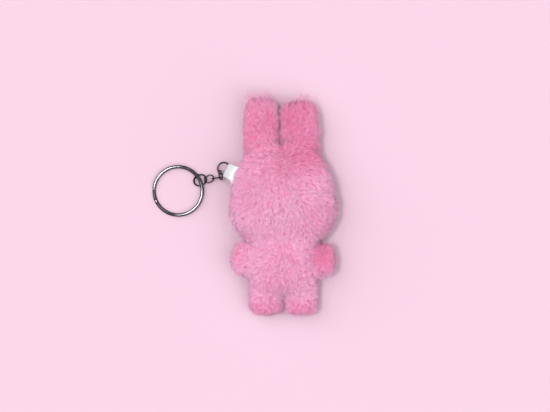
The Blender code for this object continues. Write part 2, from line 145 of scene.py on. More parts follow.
# Metal
WIRE_SIDES = 20
RING_WIRE_R = 0.5
RIBBON_RING_R = 3.5
RIBBON_RING_CENTRE = np.array([-34.5, 21.2, 5.2])
RIBBON_RING_DIP = math.radians(15.0)
RIBBON_RING_CUT = 60.0
END_RING_R = 3.7
END_RING_CENTRE = np.array([-48.2, 14.4, 2.48])
END_RING_TILT = math.radians(32.0)
END_RING_CUT = 140.0
LINK_WIRE_R = 0.4
LINK_HALF_LENGTH = 2.8
LINK_HALF_WIDTH = 2.0
LINKS = (
    (1, (-36.23, 17.33, 4.72), (-62.6, 18.6, 105.5)),
    (2, (-38.56, 15.71, 3.38), (88.8, -1.0, 9.3)),
    (3, (-42.98, 15.14, 3.49), (13.8, -12.4, 26.2)),
)
SPLIT_CENTRE = np.array([-61.0, 8.2, 1.75])
SPLIT_R = 14.05  # to the middle of its band
SPLIT_BAND = 1.9
SPLIT_COIL = 0.88
SPLIT_PITCH = 1.02
SPLIT_TILT = math.radians(3.0)
SPLIT_JOGGLE_AT = 190.0
SPLIT_JOGGLE = 16.0

# Ribbon
RIBBON_HEADING = math.radians(151.0)
RIBBON_ROOT = np.array([-27.6, 17.4, 14.5])
RIBBON_HALF_AT_SEAM = 4.5
RIBBON_HALF_AT_FOLD = 4.1
RIBBON_THICK = 0.16
RIBBON_TAIL = 3.4
FOLD_BACK = 2.65  # from the jump ring's middle to the fold's
FOLD_R = 0.9
FOLD_OPEN = math.radians(43.0)  # where the wire comes out at each side of the fold
FOLD_HALF = 2.0
PLY_GAP = 0.12  # half the gap between the ribbon's two plies at the seam
RIBBON_SKEW = 0.45
RIBBON_CROWN = 0.28
CREASE_HEIGHT = 0.5
CREASE_WIDTH = 0.7


# Materials

def linear(red, green, blue):
    """An 8-bit display colour as the linear values that a shader takes."""
    values = []
    for c in (red, green, blue):
        c = c / 255.0
        values.append(c / 12.92 if c <= 0.04045 else ((c + 0.055) / 1.055) ** 2.4)
    return (*values, 1.0)


class Nodes:
    """A short way to make a material's nodes."""

    def __init__(self, name):
        self.material = bpy.data.materials.new(name)
        self.material.use_nodes = True
        self.tree = self.material.node_tree
        self.shader = self.tree.nodes["Principled BSDF"]

    def add(self, kind, **values):
        node = self.tree.nodes.new(kind)
        for key, value in values.items():
            if key in node.inputs:
                node.inputs[key].default_value = value
            else:
                setattr(node, key, value)
        return node

    def link(self, source, target):
        self.tree.links.new(source, target)

    def ramp(self, source, stops):
        node = self.add("ShaderNodeValToRGB")
        elements = node.color_ramp.elements
        while len(elements) < len(stops):
            elements.new(0.5)
        for element, (place, colour) in zip(elements, stops):
            element.position = place
            element.color = colour
        self.link(source, node.inputs["Fac"])
        return node.outputs["Color"]

    def mix(self, factor, first, second):
        node = self.add("ShaderNodeMix", data_type="RGBA")
        for socket, value in ((0, factor), (6, first), (7, second)):
            self.link(value, node.inputs[socket])
        return node.outputs[2]

    def set(self, **values):
        for key, value in values.items():
            self.shader.inputs[key.replace("_", " ")].default_value = value

    def bump(self, height, strength, distance):
        node = self.add("ShaderNodeBump", Strength=strength, Distance=distance)
        self.link(height, node.inputs["Height"])
        self.link(node.outputs["Normal"], self.shader.inputs["Normal"])


def fur_material():
    """Coloured strand by strand: the strand's tint is its U, and the height along it is its V."""
    made = Nodes("pink_pile")
    place = made.add("ShaderNodeUVMap", uv_map="OFBake")
    parts = made.add("ShaderNodeSeparateXYZ")
    made.link(place.outputs["UV"], parts.inputs[0])
    # Tints from 0.72 up are grey: a few grey hairs, and painted shade on fur that faces sideways.
    tip = made.ramp(parts.outputs["X"], ((0.0, linear(255, 212, 236)), (0.3, linear(255, 190, 224)),
                                         (0.6, linear(242, 132, 181)), (0.72, linear(222, 166, 196)),
                                         (1.0, linear(200, 168, 190))))
    root = made.ramp(parts.outputs["X"], ((0.0, linear(255, 168, 206)), (0.6, linear(244, 120, 170)),
                                          (0.72, linear(212, 144, 178)), (1.0, linear(192, 146, 172))))
    # Darker towards each strand's root: painted shade down in the pile, which leaves the tips lighter like
    # highlights.
    rise = made.ramp(parts.outputs["Y"], ((0.0, (0, 0, 0, 1)), (0.6, (1, 1, 1, 1))))
    made.link(made.mix(rise, root, tip), made.shader.inputs["Base Color"])
    made.set(Roughness=0.7, Sheen_Weight=0.25, Sheen_Roughness=0.4, Sheen_Tint=linear(255, 214, 232),
             Specular_IOR_Level=0.25)
    return made.material


def mottled(name, scale, detail, dark, pale, span=(0.3, 0.7), distortion=0.0):
    """A material whose colour wanders between two shades, and the noise that it wanders by."""
    made = Nodes(name)
    place = made.add("ShaderNodeTexCoord")
    noise = made.add("ShaderNodeTexNoise", Scale=scale, Detail=detail, Distortion=distortion)
    made.link(place.outputs["Object"], noise.inputs["Vector"])
    colour = made.ramp(noise.outputs["Fac"], ((span[0], linear(*dark)), (span[1], linear(*pale))))
    made.link(colour, made.shader.inputs["Base Color"])
    return made, noise.outputs["Fac"]


def rough_between(made, noise, low, high):
    """Roughness that wanders with the noise, from its value at one place to that at another."""
    stops = [(place, (value, value, value, 1.0)) for place, value in (low, high)]
    made.link(made.ramp(noise, stops), made.shader.inputs["Roughness"])


def backing_material():
    """The knitted backing that the pile grows from, seen only between strands; its pink is deeper than the
    tips', as painted shade down between the strands.
    """
    made, noise = mottled("fur_backing", 900.0, 3.0, (222, 128, 172), (238, 152, 192))
    made.bump(noise, 0.6, 0.0003)
    made.set(Roughness=0.95)
    return made.material


def stuffing_material():
    made, noise = mottled("polyester_fibre", 320.0, 6.0, (222, 219, 213), (250, 249, 246), distortion=2.5)
    made.bump(noise, 0.8, 0.0005)
    made.set(Roughness=1.0)
    return made.material


def nickel_material():
    """Dark bright plate with slight clouding."""
    made, cloud = mottled("nickel_plate", 260.0, 4.0, (56, 54, 58), (80, 78, 82))
    rough_between(made, cloud, (0.3, 0.03), (0.75, 0.09))
    made.bump(cloud, 0.05, 0.00003)
    made.set(Metallic=1.0)
    return made.material


def satin_material():
    """White satin: fine floats along the ribbon, a faint random clouding, and painted grey-green shade
    towards the fold.
    """
    made = Nodes("white_satin")
    place = made.add("ShaderNodeUVMap", uv_map="cloth")
    weave = made.add("ShaderNodeTexWave", Scale=90.0, Distortion=0.4)
    weave.bands_direction = "X"
    cloud = made.add("ShaderNodeTexNoise", Scale=5.0, Detail=3.0)
    made.link(place.outputs["UV"], weave.inputs["Vector"])
    made.link(place.outputs["UV"], cloud.inputs["Vector"])
    parts = made.add("ShaderNodeSeparateXYZ")
    made.link(place.outputs["UV"], parts.inputs[0])
    # Greyer and greener from the upper ply's middle on round the fold: painted shade and darker reflection
    # where the ribbon bends down.
    fold_shade = made.ramp(parts.outputs["Y"], ((0.55, linear(232, 234, 234)), (1.15, linear(192, 210, 204)),
                                          (1.6, linear(205, 214, 211))))
    cloudy = made.ramp(cloud.outputs["Fac"], ((0.3, linear(206, 216, 213)), (0.65, linear(232, 235, 234))))
    made.link(made.mix(cloud.outputs["Fac"], fold_shade, cloudy), made.shader.inputs["Base Color"])
    made.bump(weave.outputs["Fac"], 0.25, 0.00008)
    made.set(Roughness=0.38, Sheen_Weight=0.3, Anisotropic=0.5)
    return made.material


def bead_material():
    made, noise = mottled("black_bead", 400.0, 2.0, (14, 12, 14), (24, 20, 22), span=(0.2, 0.8))
    rough_between(made, noise, (0.35, 0.04), (0.75, 0.12))
    made.set(Coat_Weight=0.6)
    return made.material


def washer_material():
    made, noise = mottled("moulded_white", 700.0, 2.0, (228, 226, 220), (242, 240, 235))
    made.bump(noise, 0.2, 0.00005)
    made.set(Roughness=0.45)
    return made.material


def thread_material():
    made, noise = mottled("rose_thread", 1500.0, 3.0, (176, 70, 106), (212, 104, 140))
    made.bump(noise, 0.4, 0.00008)
    made.set(Roughness=0.5, Sheen_Weight=0.3)
    return made.material


def table_material():
    made, _ = mottled("pale_table", 1.5, 2.0, (203, 173, 188), (204, 174, 189), span=(0.2, 0.8))
    made.set(Roughness=1.0, Specular_IOR_Level=0.0)
    return made.material


MATERIALS = {
    "fur": fur_material(),
    "backing": backing_material(),
    "stuffing": stuffing_material(),
    "nickel": nickel_material(),
    "satin": satin_material(),
    "bead": bead_material(),
    "washer": washer_material(),
    "thread": thread_material(),
}


# Meshes

def grid_faces(rows, columns):
    """Quads between neighbouring closed rows of points, as index rows."""
    row, column = np.meshgrid(np.arange(rows - 1), np.arange(columns), indexing="ij")
    after = (column + 1) % columns
    quads = np.stack([row * columns + column, row * columns + after,
                      (row + 1) * columns + after, (row + 1) * columns + column], axis=-1)
    return quads.reshape(-1, 4)


def capped_faces(rows, columns):
    """Faces over closed rows of points whose two ends meet in a pole each; the poles are the last points."""
    ring = np.arange(columns)
    after = (ring + 1) % columns
    last = (rows - 1) * columns
    first_pole = rows * columns
    caps = np.concatenate([
        np.stack([np.full(columns, first_pole), after, ring], axis=1),
        np.stack([np.full(columns, first_pole + 1), last + ring, last + after], axis=1),
    ])
    return [grid_faces(rows, columns), caps]


def make_object(name, points, faces, material, smooth=True):
    """points are millimetres; faces is a list of index arrays, one array for each number of corners."""
    mesh = bpy.data.meshes.new(name)
    corners = np.concatenate([f.reshape(-1) for f in faces])
    sizes = np.concatenate([np.full(len(f), f.shape[1]) for f in faces])
    mesh.vertices.add(len(points))
    mesh.vertices.foreach_set("co", (np.asarray(points) * MM).astype(np.float32).reshape(-1))
    mesh.loops.add(len(corners))
    mesh.loops.foreach_set("vertex_index", corners.astype(np.int32))
    mesh.polygons.add(len(sizes))
    mesh.polygons.foreach_set("loop_start", (np.cumsum(sizes) - sizes).astype(np.int32))
    mesh.polygons.foreach_set("use_smooth", np.full(len(sizes), smooth))
    mesh.update(calc_edges=True)
    mesh.materials.append(material)
    obj = bpy.data.objects.new(name, mesh)
    bpy.context.scene.collection.objects.link(obj)
    return obj


def paint_uv(obj, layer, values):
    """One UV pair for each vertex."""
    mesh = obj.data
    index = np.empty(len(mesh.loops), np.int32)
    mesh.loops.foreach_get("vertex_index", index)
    uv = mesh.uv_layers.new(name=layer)
    uv.data.foreach_set("uv", values[index].astype(np.float32).reshape(-1))


# Plush forms

def node_box(*nodes):
    """Lowest and highest corner of these CAD nodes together, in millimetres."""
    boxes = [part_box(node) for node in nodes]
    low = np.min([np.array(low) for low, _ in boxes], axis=0) / MM
    high = np.max([np.array(high) for _, high in boxes], axis=0) / MM
    return low, high


def make_form(name, part):
    """The part's backing as a rounded form: its middle at the seam, half sizes in plan, height and depth."""
    low, high = node_box(f"{name}_fur_back", f"{name}_fur_front")
    seam = node_box(f"{name}_fur_back")[0][2]
    half = (high[:2] - low[:2]) / 2
    pile = part["pile"]
    reach = np.array(part.get("towards", (0, 0)), float) * part.get("reach", 0.0)
    stands = low[2] < 1.0
    left, right = part.get("wider", (0.0, 0.0))
    lower = part.get("lower", 0.0)
    return {
        "centre": np.array([*(high[:2] + low[:2]) / 2, seam]),
        "half_down": half - pile + np.maximum(-reach, 0.0) + (left, 0.0),
        "half_up": half - pile + np.maximum(reach, 0.0) + (right, -lower),
        "above": high[2] - seam - pile,
        "below": seam * 1.06 - pile if stands else seam - low[2] - pile,
        "power": part["power"],
        "taper": part["taper"],
        "turn": math.radians(part.get("turn", 0.0)),
    }


def eased(values, low, high):
    """0 below low, 1 above high and a smooth rise between."""
    t = np.clip((values - low) / (high - low), 0.0, 1.0)
    return t * t * (3.0 - 2.0 * t)


def unit_rows(vectors):
    return vectors / np.maximum(np.linalg.norm(vectors, axis=1, keepdims=True), 1e-9)


def turned(points, angle):
    """Points turned about the upright axis."""
    c, s = math.cos(angle), math.sin(angle)
    out = points.copy()
    out[:, 0] = c * points[:, 0] - s * points[:, 1]
    out[:, 1] = s * points[:, 0] + c * points[:, 1]
    return out


def form_distance(form, points):
    """About how far each point lies outside the form, negative inside."""
    local = turned(points - form["centre"], -form["turn"])
    half = np.where(local[:, :2] > 0, form["half_up"], form["half_down"])
    along = np.abs(local[:, 1]) / half[:, 1]
    width = half[:, 0] * (1.0 - form["taper"] * np.clip(local[:, 1] / half[:, 1], -1.5, 1.5))
    across = np.abs(local[:, 0]) / width
    power = form["power"]
    plan = np.maximum((across ** power + along ** power) ** (1.0 / power), 1e-4)
    height = np.where(local[:, 2] > 0, form["above"], form["below"])
    rise = local[:, 2] / height
    size = np.sqrt(plan ** 2 + rise ** 2)
    slope_x = plan / size * (across / plan) ** (power - 1.0) / width
    slope_y = plan / size * (along / plan) ** (power - 1.0) / half[:, 1]
    slope_z = rise / size / height
    return (size - 1.0) / np.sqrt(slope_x ** 2 + slope_y ** 2 + slope_z ** 2 + 1e-9)


def joined_distance(forms, points):
    """Distance from the toy's backing, with its parts run softly into each other."""
    away = {name: form_distance(form, points) for name, form in forms.items()}
    nearest = np.min(list(away.values()), axis=0)
    flatter = 0.45 + 0.55 * eased(np.abs(points[:, 2] - EAR_SEAM_HEIGHT), 1.0, 8.0)
    for a, b, depth in BRIDGES:
        depth = depth * (flatter if a.startswith("ear") else 1.0)
        close = np.clip(1.0 - np.abs(away[a] - away[b]) / depth, 0.0, 1.0)
        nearest = np.minimum(nearest, np.minimum(away[a], away[b]) - close ** 2 * depth / 4)
    return nearest


def joined_normals(forms, points, step=0.15):
    slopes = []
    for axis in np.eye(3) * step:
        slopes.append(joined_distance(forms, points + axis) - joined_distance(forms, points - axis))
    return unit_rows(np.stack(slopes, axis=1))


def form_points(form):
    """A grid of points over the form, pole to pole, without the poles themselves."""
    columns, rows = SKIN_MESH
    around = np.linspace(0, 2 * math.pi, columns, endpoint=False)
    down = np.linspace(0, math.pi, rows + 2)[1:-1]
    down, around = np.meshgrid(down, around, indexing="ij")
    ball = np.stack([np.sin(down) * np.cos(around), np.sin(down) * np.sin(around), np.cos(down)], axis=-1)
    ball = ball.reshape(-1, 3)
    power = form["power"]
    across = np.hypot(ball[:, 0], ball[:, 1])
    squared = np.sum(np.abs(ball[:, :2] / across[:, None]) ** power, axis=1) ** (-1 / power)
    y = ball[:, 1] * squared
    x = ball[:, 0] * squared * (1.0 - form["taper"] * y)
    z = np.where(ball[:, 2] > 0, form["above"], form["below"]) * ball[:, 2]
    half = np.where(ball[:, :2] > 0, form["half_up"], form["half_down"])
    local = np.stack([x * half[:, 0], y * half[:, 1], z], axis=1)
    return turned(local, form["turn"]) + form["centre"]


def make_skin(name, forms):
    """The part's closed backing, drawn out into fillets where it meets its neighbours."""
    points = form_points(forms[name])
    others = [form for other, form in forms.items() if other != name]
    for _ in range(4):
        inside = np.min([form_distance(other, points) for other in others], axis=0)
        share = np.clip((inside + 2.0) / 2.0, 0.0, 1.0)
        normals = joined_normals(forms, points)
        points = points - normals * (joined_distance(forms, points) * share)[:, None]
    points[:, 2] = np.maximum(points[:, 2], SKIN_FLOOR)
    return closed_form(f"{name}_backing", points, MATERIALS["backing"])


def make_filling(name, part):
    """The fibre fill, lumpy, well inside the part's backing."""
    form = make_form(name, {**part, "reach": 0.0, "pile": part["pile"] + FILLING_GAP})
    points = form_points(form)
    lumps = 0.03 * waves(points, 7.0) + 0.015 * waves(points, 3.1, 1.0)
    points = form["centre"] + (points - form["centre"]) * (0.97 + lumps)[:, None]
    points[:, 2] = np.maximum(points[:, 2], SKIN_FLOOR + FILLING_GAP)
    piece = closed_form(f"{name}_fibre_fill", points, MATERIALS["stuffing"])
    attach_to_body(piece, part["body"])
    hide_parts(f"{name}_stuffing")


def closed_form(piece_name, points, material):
    """A closed piece over a grid of points from pole to pole."""
    columns, rows = SKIN_MESH
    top = points[:columns].mean(axis=0)
    bottom = points[-columns:].mean(axis=0)
    points = np.concatenate([points, [top, bottom]])
    quads, caps = capped_faces(rows, columns)
    outward = [quads[:, ::-1], np.roll(caps[:, ::-1], 1, axis=1)]
    return make_object(piece_name, points, outward, material)


# Fur

def random_places(obj, count, rng):
    """Evenly random points on a mesh, in millimetres."""
    mesh = obj.data
    mesh.calc_loop_triangles()
    corners = np.empty(len(mesh.loop_triangles) * 3, np.int32)
    mesh.loop_triangles.foreach_get("vertices", corners)
    points = np.empty(len(mesh.vertices) * 3, np.float32)
    mesh.vertices.foreach_get("co", points)
    corners = (points.reshape(-1, 3) / MM)[corners].reshape(-1, 3, 3).astype(float)
    area = np.linalg.norm(np.cross(corners[:, 1] - corners[:, 0], corners[:, 2] - corners[:, 0]), axis=1) / 2
    chosen = rng.choice(len(area), int(count * area.sum()), p=area / area.sum())
    u, v = rng.random((2, len(chosen), 1))
    flip = u + v > 1
    u, v = np.where(flip, 1 - u, u), np.where(flip, 1 - v, v)
    a, b, c = (corners[chosen, i] for i in range(3))
    return a + (b - a) * u + (c - a) * v


def waves(points, wavelength, shift=0.0):
    """Smooth noise from -1 to 1 over the surface, out of a few crossing waves."""
    k = 2 * math.pi / wavelength
    total = np.zeros(len(points))
    for i, (ax, ay, az) in enumerate(((1.0, 0.3, 0.5), (-0.4, 1.1, 0.2), (0.7, -0.8, 0.9), (0.2, 0.6, -1.2))):
        total += np.sin(k * (points @ np.array([ax, ay, az])) + shift + 1.7 * i)
    return total / 4


def combed(name, points, normals):
    """Which way the pile lies: out from the crown over the back, out from the nose over the face."""
    away = unit_rows(points[:, :2] - np.array(COMBED_FROM.get(name, CROWN)))
    if name.startswith("ear"):
        higher = eased(points[:, 1:2], 35.0, 48.0)
        lean = np.sign(points[:, :1] + 1.0) * 0.45
        upward = np.concatenate([lean, np.ones((len(points), 1))], axis=1)
        away = unit_rows(away * (1.0 - 0.5 * higher) + upward * higher)
    back = np.concatenate([away, np.full((len(points), 1), -0.35)], axis=1)
    face = unit_rows(points[:, :2] - NOSE)
    front = np.concatenate([face, np.full((len(points), 1), 0.25)], axis=1)
    share = np.clip((normals[:, 2:] + 0.45) / 0.5, 0, 1)
    lay = back * share + front * (1 - share)
    lay -= normals * np.sum(lay * normals, axis=1, keepdims=True)
    return unit_rows(lay)


def spun(vectors, normals, angles):
    """Vectors that lie in the surface, turned about its normals."""
    c, s = np.cos(angles)[:, None], np.sin(angles)[:, None]
    return vectors * c + np.cross(normals, vectors) * s


def strand_lines(name, roots, normals, rng):
    """The points along each strand, and its tint: clumps share a curl, a lean and a tip."""
    count = len(roots)
    area_of_clump = CLUMP_SPACING ** 2 * DENSITY
    heads = rng.choice(count, max(4, int(count / area_of_clump)), replace=False)
    tree = KDTree(len(heads))
    for i, head in enumerate(heads):
        tree.insert(roots[head], i)
    tree.balance()
    clump = np.array([tree.find(root)[1] for root in roots])
    clumps = len(heads)
    lay = combed(name, roots, normals)
    swing = rng.normal(0.0, 0.6, clumps)[clump] + 0.8 * waves(roots, 10.0) + rng.normal(0.0, 0.25, count)
    lay = spun(lay, normals, swing)
    side = np.cross(normals, lay)
    tuft = (rng.random(clumps) < 0.14)[clump]
    size = rng.uniform(0.76, 1.12, clumps)[clump] * rng.uniform(0.72, 1.1, count) * np.where(tuft, 1.22, 1.0)
    short = np.clip((roots[:, 2] - 1.0) / 6.0, 0.45, 1.0)
    length = FUR_LENGTH * size * short
    start = np.radians(rng.uniform(12.0, 38.0, count))
    end = np.radians(rng.uniform(78.0, 112.0, clumps)[clump] + rng.normal(0.0, 6.0, count)
                     - np.where(tuft, 24.0, 0.0))
    curl = rng.uniform(0.25, 0.75, clumps)[clump] * rng.choice([-1.0, 1.0], clumps)[clump]
    bend = rng.uniform(0.5, 0.95, clumps)[clump]
    gather = rng.uniform(0.3, 0.75, count)
    offset = roots - roots[heads][clump]
    offset -= normals * np.sum(offset * normals, axis=1, keepdims=True)
    lines = []
    for t in STRAND_LEVELS:
        angle = start + (end - start) * t
        rise = (np.sin(angle) - np.sin(start)) / (end - start) * length - 0.25
        run = (np.cos(start) - np.cos(angle)) / (end - start) * length
        sway = curl * length * 0.3 * np.sin(math.pi * 1.15 * bend * t) * t ** 0.6
        point = roots + normals * rise[:, None] + lay * run[:, None] + side * sway[:, None]
        point -= offset * (gather * t ** 1.3)[:, None]
        lines.append(point)
    lines = np.stack(lines, axis=1)
    spread = rng.uniform(0.0, 0.35, count)[:, None]
    lines[:, :, 2] = np.maximum(lines[:, :, 2], FUR_FLOOR + spread)
    tint = 0.38 + 0.14 * waves(roots, 34.0, 2.0) + 0.07 * rng.normal(0.0, 1.0, clumps)[clump]
    tint += rng.normal(0.0, 0.12, count) + deeper(roots)
    return lines, np.clip(tint, 0.02, 0.86)


def deeper(points):
    """Where the pile is a deeper pink: over the ears, right of the crown and on the limbs."""
    y = points[:, 1]
    deep = 0.3 * eased(y, 12.0, 31.0) + 0.04 * eased(-y, 12.0, 24.0) + 0.26 * eased(-y, 50.0, 60.0)
    for middle, size, strength in DEEPER_PATCHES:
        away = (points[:, :2] - middle) / size
        deep += strength * np.exp(-np.sum(away ** 2, axis=1))
    return deep


def strand_mesh(name, lines, widths, tints):
    """Closed tapered strands, three-sided, that all end in a point."""
    count, levels, _ = lines.shape
    rings = levels - 1
    tangents = np.gradient(lines, axis=1)
    tangents /= np.maximum(np.linalg.norm(tangents, axis=2, keepdims=True), 1e-9)
    side = np.cross(tangents, UP)
    side /= np.maximum(np.linalg.norm(side, axis=2, keepdims=True), 1e-6)
    other = np.cross(side, tangents)
    taper = 1.0 - np.array(STRAND_LEVELS) ** 2.2 * 0.85
    radius = widths[:, None] * taper[None, :]
    points = np.empty((count, rings * STRAND_SIDES + 1, 3))
    for i in range(rings):
        for j in range(STRAND_SIDES):
            angle = 2 * math.pi * j / STRAND_SIDES
            spoke = side[:, i] * math.cos(angle) + other[:, i] * math.sin(angle)
            points[:, i * STRAND_SIDES + j] = lines[:, i] + spoke * radius[:, i, None]
    points[:, -1] = lines[:, -1]
    each = rings * STRAND_SIDES + 1
    base = (np.arange(count) * each)[:, None, None]
    last = (rings - 1) * STRAND_SIDES
    ends = [[last + j, last + (j + 1) % STRAND_SIDES, each - 1] for j in range(STRAND_SIDES)]
    ends.append(list(range(STRAND_SIDES))[::-1])
    quads = (grid_faces(rings, STRAND_SIDES)[None] + base).reshape(-1, 4)
    triangles = (np.array(ends)[None] + base).reshape(-1, 3)
    obj = make_object(name, points.reshape(-1, 3), [quads, triangles], MATERIALS["fur"])
    heights = np.append(np.repeat(np.array(STRAND_LEVELS[:-1]), STRAND_SIDES), 1.0)
    uv = np.empty((count, each, 2))
    uv[:, :, 0] = tints[:, None]
    uv[:, :, 1] = heights[None, :]
    paint_uv(obj, "OFBake", uv.reshape(-1, 2))
    return obj


def own_places(name, forms, points):
    """The points that lie on this part rather than inside a neighbour."""
    own = form_distance(forms[name], points)
    others = np.min([form_distance(form, points) for other, form in forms.items() if other != name], axis=0)
    return own - others < 0.5


def near_eyes(points):
    """Points that the eyes or the nose cover."""
    covered = np.zeros(len(points), bool)
    for node, margin in (("eye_left", 0.3), ("eye_right", 0.3), ("nose", 0.2)):
        low, high = node_box(node)
        middle = (low + high) / 2
        reach = (high[:2] - low[:2]).min() / 2 + margin
        covered |= (np.hypot(*(points[:, :2] - middle[:2]).T) < reach) & (points[:, 2] < FACE_BELOW)
    return covered


def grow_fur(name, skin, forms, rng):
    """The part's pile, in pieces that each hold one sector of it."""
    density = DENSITY * 1.0
    roots = random_places(skin, density, rng)
    roots = roots[own_places(name, forms, roots) & ~near_eyes(roots)]
    normals = joined_normals(forms, roots)
    floor = roots[:, 2] < SKIN_FLOOR + 0.02
    normals[floor] = -UP
    lines, tints = strand_lines(name, roots, normals, rng)
    widths = FUR_WIDTH * rng.uniform(0.6, 1.15, len(roots))
    # Grey strands: a few at random everywhere as grey hairs, and many more where the surface faces sideways,
    # as painted shade on the toy's sides.
    level = 1.0 - np.abs(normals[:, 2])
    grey_hair_and_side_shade = rng.random(len(roots)) < 0.02 + 0.6 * np.clip((level - 0.35) / 0.5, 0.0, 1.0)
    tints = np.where(grey_hair_and_side_shade, rng.uniform(*GREY_AND_SHADE_TINTS, len(roots)), tints * PINK_TINTS)
    tip_share = np.clip((roots[:, 1] - EAR_TIPS[0]) / (EAR_TIPS[1] - EAR_TIPS[0]), 0.0, 1.0)
    stray = rng.random(len(roots)) < STRAY_SHARE + TIP_STRAY_SHARE * tip_share
    widths = np.where(stray, widths * 0.6, widths)
    longer = np.where(stray, rng.uniform(1.1, 1.4, len(roots)), 1.0)
    longer = np.where(stray, longer + WISP_LENGTH * tip_share, longer)
    lines = lines[:, :1] + (lines - lines[:, :1]) * longer[:, None, None]
    lines[:, :, 2] = np.maximum(lines[:, :, 2], FUR_FLOOR)
    order = np.argsort(np.arctan2(roots[:, 1] - roots[:, 1].mean(), roots[:, 0] - roots[:, 0].mean()))
    pieces = max(1, math.ceil(len(order) / STRANDS_PER_PIECE))
    made = []
    for i, chosen in enumerate(np.array_split(order, pieces)):
        made.append(strand_mesh(f"{name}_pile_{i + 1}", lines[chosen], widths[chosen], tints[chosen]))
    return made


def attach(piece, part):
    if "joins" in part:
        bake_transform(piece)
    else:
        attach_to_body(piece, part["body"])


def make_plush():
    forms = {name: make_form(name, part) for name, part in PARTS.items()}
    rng = np.random.default_rng(SEED)
    for name, part in PARTS.items():
        skin = make_skin(name, forms)
        piles = grow_fur(name, skin, forms, rng)
        for piece in (skin, *piles):
            attach(piece, part)
        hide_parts(f"{name}_fur_back", f"{name}_fur_front")
        make_filling(name, part)


# Metal

def unit(vector):
    return vector / np.linalg.norm(vector)


def axes_of(x_axis, y_axis):
    """Columns are the axes of the plane that holds these two directions, and its normal."""
    x_axis = unit(x_axis)
    z_axis = unit(np.cross(x_axis, y_axis))
    return np.stack([x_axis, np.cross(z_axis, x_axis), z_axis], axis=1)


def oval_section(half_width, half_height, power, sides):
    angles = np.linspace(0.0, 2 * math.pi, sides, endpoint=False)
    c, s = np.cos(angles), np.sin(angles)
    size = (np.abs(c) ** power + np.abs(s) ** power) ** (-1 / power)
    return np.stack([c * size * half_width, s * size * half_height], axis=1)


def swept(path, across, up, section, ends=0.8, ease=0.12):
    """Points and faces of a closed bar along the path, its ends eased off to that share of the section."""
    first = path[0] + unit(path[1] - path[0]) * ease
    last = path[-1] + unit(path[-2] - path[-1]) * ease
    path = np.concatenate([path[:1], [first], path[1:-1], [last], path[-1:]])
    across, up = (np.concatenate([a[:1], a[:1], a[1:-1], a[-1:], a[-1:]]) for a in (across, up))
    scale = np.ones(len(path))
    scale[[0, -1]] = ends
    rows = across[:, None] * section[None, :, :1] + up[:, None] * section[None, :, 1:]
    rows = rows * scale[:, None, None] + path[:, None]
    points = np.concatenate([rows.reshape(-1, 3), path[:1], path[-1:]])
    return points, capped_faces(len(path), len(section))


def add_metal(name, points, faces, axes, centre, body, node):
    piece = make_object(name, points @ axes.T + centre, faces, MATERIALS["nickel"])
    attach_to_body(piece, body)
    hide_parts(node)


def jump_ring(radius, cut_at):
    """A wire bent round to a butt joint, its two ends a little out of line."""
    angles = np.radians(np.linspace(cut_at + 1.2, cut_at + 358.8, 120))
    radial = np.stack([np.cos(angles), np.sin(angles), np.zeros(len(angles))], axis=1)
    lift = np.linspace(-0.05, 0.05, len(angles))[:, None] * UP
    section = oval_section(RING_WIRE_R, RING_WIRE_R, 2.0, WIRE_SIDES)
    return swept(radial * radius + lift, radial, np.tile(UP, (len(angles), 1)), section)


def chain_link():
    """Two half circles and two straights, butted in the middle of one straight."""
    straight = LINK_HALF_LENGTH - LINK_HALF_WIDTH
    path, out = [np.array([0.06, -LINK_HALF_WIDTH, 0.0])], [np.array([0.0, -1.0, 0.0])]
    for end, first in ((1, -90.0), (-1, 90.0)):
        for angle in np.radians(np.linspace(first, first + 180.0, 25)):
            radial = np.array([math.cos(angle), math.sin(angle), 0.0])
            path.append(radial * LINK_HALF_WIDTH + np.array([end * straight, 0.0, 0.0]))
            out.append(radial)
    path.append(np.array([-0.06, -LINK_HALF_WIDTH, 0.0]))
    out.append(np.array([0.0, -1.0, 0.0]))
    path, out = np.array(path), np.array(out)
    section = oval_section(LINK_WIRE_R, LINK_WIRE_R, 2.0, 16)
    return swept(path, out, np.tile(UP, (len(path), 1)), section)


def split_coil():
    """Two turns of crowned flat wire: the lower turn, the climb and the upper turn."""
    turned_by = np.arange(SPLIT_JOGGLE, 720.0 - SPLIT_JOGGLE + 0.1, 2.0)
    climb = eased(turned_by, 360.0 - SPLIT_JOGGLE, 360.0 + SPLIT_JOGGLE)
    angles = np.radians(SPLIT_JOGGLE_AT + turned_by)
    radial = np.stack([np.cos(angles), np.sin(angles), np.zeros(len(angles))], axis=1)
    path = radial * SPLIT_R + ((climb - 0.5) * SPLIT_PITCH)[:, None] * UP
    section = oval_section(SPLIT_BAND / 2, SPLIT_COIL / 2, 2.05, 28)
    return swept(path, radial, np.tile(UP, (len(path), 1)), section, 0.7, 0.3)


